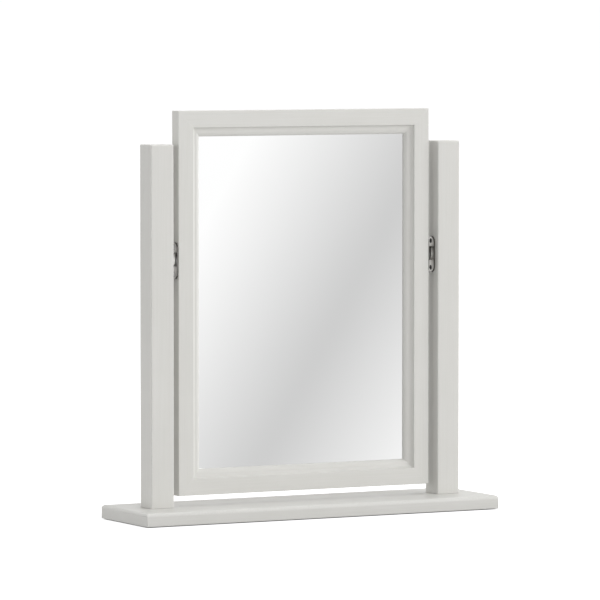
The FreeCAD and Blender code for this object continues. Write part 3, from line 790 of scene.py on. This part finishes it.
def white_floor():
    """White floor with the part's shadow; its glow stops under the base board."""
    material, tree = new_tree("white_floor")
    shown = product_of(tree, past_base(tree, -CONTACT_BAND, 0), seen_in_picture(tree))
    strength = product_of(tree, spread(tree, shown, 0, FLOOR_GLOW, 0, 1), reflected_fall(tree))
    glow = add(tree, "Emission", Color=(1, 1, 1, 1), Strength=strength)
    paint = add(tree, "BsdfDiffuse", Color=tint(tree, past_base(tree, 0, FLOOR_TURN), FLOOR_NEAR, FLOOR_FAR))
    both = add(tree, "AddShader")
    tree.links.new(paint.outputs[0], both.inputs[0])
    tree.links.new(glow.outputs[0], both.inputs[1])
    add(tree, "OutputMaterial", Surface=both.outputs[0])
    return material


def flat_sheet(name, half_width, material):
    """A flat square that belongs to the studio."""
    bm = bmesh.new()
    bmesh.ops.create_grid(bm, x_segments=4, y_segments=4, size=half_width)
    mesh = bpy.data.meshes.new(name)
    bm.to_mesh(mesh)
    bm.free()
    mesh.materials.append(material)
    return bpy.data.objects.new(name, mesh)


def add_floor():
    floor = flat_sheet("floor", FLOOR_REACH, white_floor())
    show(floor)


def grey_sweep():
    """A soft dark line across the card, rising to white on both sides and fading out at its borders."""
    material, tree = new_tree("grey_sweep")
    coordinates = add(tree, "TexCoord").outputs["Object"]
    dot = add(tree, "VectorMath", {"operation": "DOT_PRODUCT"})
    tree.links.new(coordinates, dot.inputs[0])
    dot.inputs[1].default_value = (*CARD_LEAN, 0)
    shifted = spread(tree, dot.outputs["Value"], -1 - CARD_OFFSET, 1 - CARD_OFFSET, -1, 1)
    squared = product_of(tree, shifted, shifted)
    softened = spread(tree, squared, CARD_SOFTNESS ** 2, 1 + CARD_SOFTNESS ** 2, 0, 1)
    away = worked_out(tree, "SQRT", softened)
    level = spread(tree, away, CARD_VALLEY, CARD_PEAK, CARD_SOFTNESS, CARD_RISE)
    shown = product_of(tree, level, seen_in_picture(tree))
    glow = add(tree, "Emission", Color=(1, 1, 1, 1), Strength=shown)
    clear = add(tree, "BsdfTransparent")
    place = add(tree, "SeparateXYZ", Vector=coordinates)
    inside = []
    for axis in ("X", "Y"):
        size = worked_out(tree, "ABSOLUTE", place.outputs[axis])
        inside.append(spread(tree, size, 1, 0, CARD_WIDTH / 2 - CARD_FADE, CARD_WIDTH / 2))
    faded = add(tree, "MixShader", Fac=product_of(tree, *inside))
    tree.links.new(clear.outputs[0], faded.inputs[1])
    tree.links.new(glow.outputs[0], faded.inputs[2])
    add(tree, "OutputMaterial", Surface=faded.outputs[0])
    return material


def add_card():
    """A card in front of the mirror that only its reflection shows."""
    ahead, across = view_axes()
    seen = Vector((ahead.x, -ahead.y, ahead.z))
    centre = across * AIM_ACROSS + Vector((0, 0, AIM_HEIGHT)) + seen * CARD_DISTANCE
    right = Vector((across.x, -across.y, 0))
    up = seen.cross(right)
    card = flat_sheet("card", CARD_WIDTH / 2, grey_sweep())
    card.matrix_world = Matrix.Translation(centre) @ Matrix((right, up, seen)).transposed().to_4x4()
    card.visible_camera = False
    card.visible_diffuse = False
    card.visible_shadow = False
    card.visible_transmission = False
    show(card)


def softbox(name, place, size, watts):
    """A square lamp facing the middle of the mirror."""
    data = bpy.data.lights.new(name, "AREA")
    data.size = size
    data.energy = watts
    lamp = bpy.data.objects.new(name, data)
    lamp.location = place
    lamp.rotation_euler = (LAMP_AIM - Vector(place)).to_track_quat("-Z", "Y").to_euler()
    show(lamp)


def light_studio():
    world = bpy.data.worlds.new("studio")
    bpy.context.scene.world = world
    world.use_nodes = True
    tree = world.node_tree
    tree.nodes.clear()
    level = spread(tree, seen_in_picture(tree), WORLD_LEVEL, BACKGROUND_LEVEL, 0, 1)
    background = add(tree, "Background", Color=(1, 1, 1, 1), Strength=level)
    add(tree, "OutputWorld", Surface=background.outputs[0])
    for name, (place, size, watts) in LAMPS.items():
        softbox(name, place, size, watts)


PAINT_UPRIGHT = satin_paint("satin_paint_upright", (420, 420, 9))
PAINT_LEVEL = satin_paint("satin_paint_level", (9, 420, 420))
# Each plated metal: dull and bright colours, the colour of the painted shade along its edges, a roughness
# range and the brush stretch.
NICKEL = plated_metal(
    "satin_nickel", (0.5, 0.49, 0.465), (0.6, 0.59, 0.565), (0.04, 0.038, 0.035), (0.3, 0.42),
    (3000, 3000, 120),
)
SPRING = plated_metal(
    "spring_steel", (0.62, 0.62, 0.62), (0.72, 0.72, 0.71), (0.3, 0.3, 0.3), (0.3, 0.44), (900, 900, 900),
)
ZINC = plated_metal(
    "zinc_plate", (0.5, 0.5, 0.49), (0.62, 0.62, 0.61), (0.3, 0.3, 0.3), (0.28, 0.42), (1200, 1200, 1200),
)
BLACK = plated_metal(
    "near_black_screw_metal", (0.02, 0.02, 0.021), (0.04, 0.04, 0.041), (0.08, 0.08, 0.08), (0.35, 0.5),
    (1200, 1200, 1200),
)
FELT = grey_felt()
FINISHES = {
    "painted_wood": PAINT_UPRIGHT,
    "dowel_wood": bare_beech(),
    "hardboard": brown_hardboard(),
    "foam": white_foam(),
    "mirror": silvered_glass(),
    "nickel": NICKEL,
    "spring_steel": SPRING,
    "screw_steel": ZINC,
    "felt": FELT,
}
for subpart in frame["record"]["subparts"]:
    # the post plate screws are made near black, unlike the zinc of the other screws
    darkened = subpart["node"].endswith("post_plate_screws")
    slots = nodes[subpart["node"]].data.materials
    slots.clear()
    slots.append(BLACK if darkened else FINISHES[subpart["material_slot"]])

make_base_board()
for post in ("left_post", "right_post"):
    make_post(post)
make_frame()
make_pivot("left", -1)
make_pivot("right", 1)
for pad in ("front_left_pad", "front_right_pad", "back_left_pad", "back_right_pad"):
    make_pad(pad)

add_camera()
add_floor()
add_card()
light_studio()
bpy.context.scene.view_settings.view_transform = "Standard"
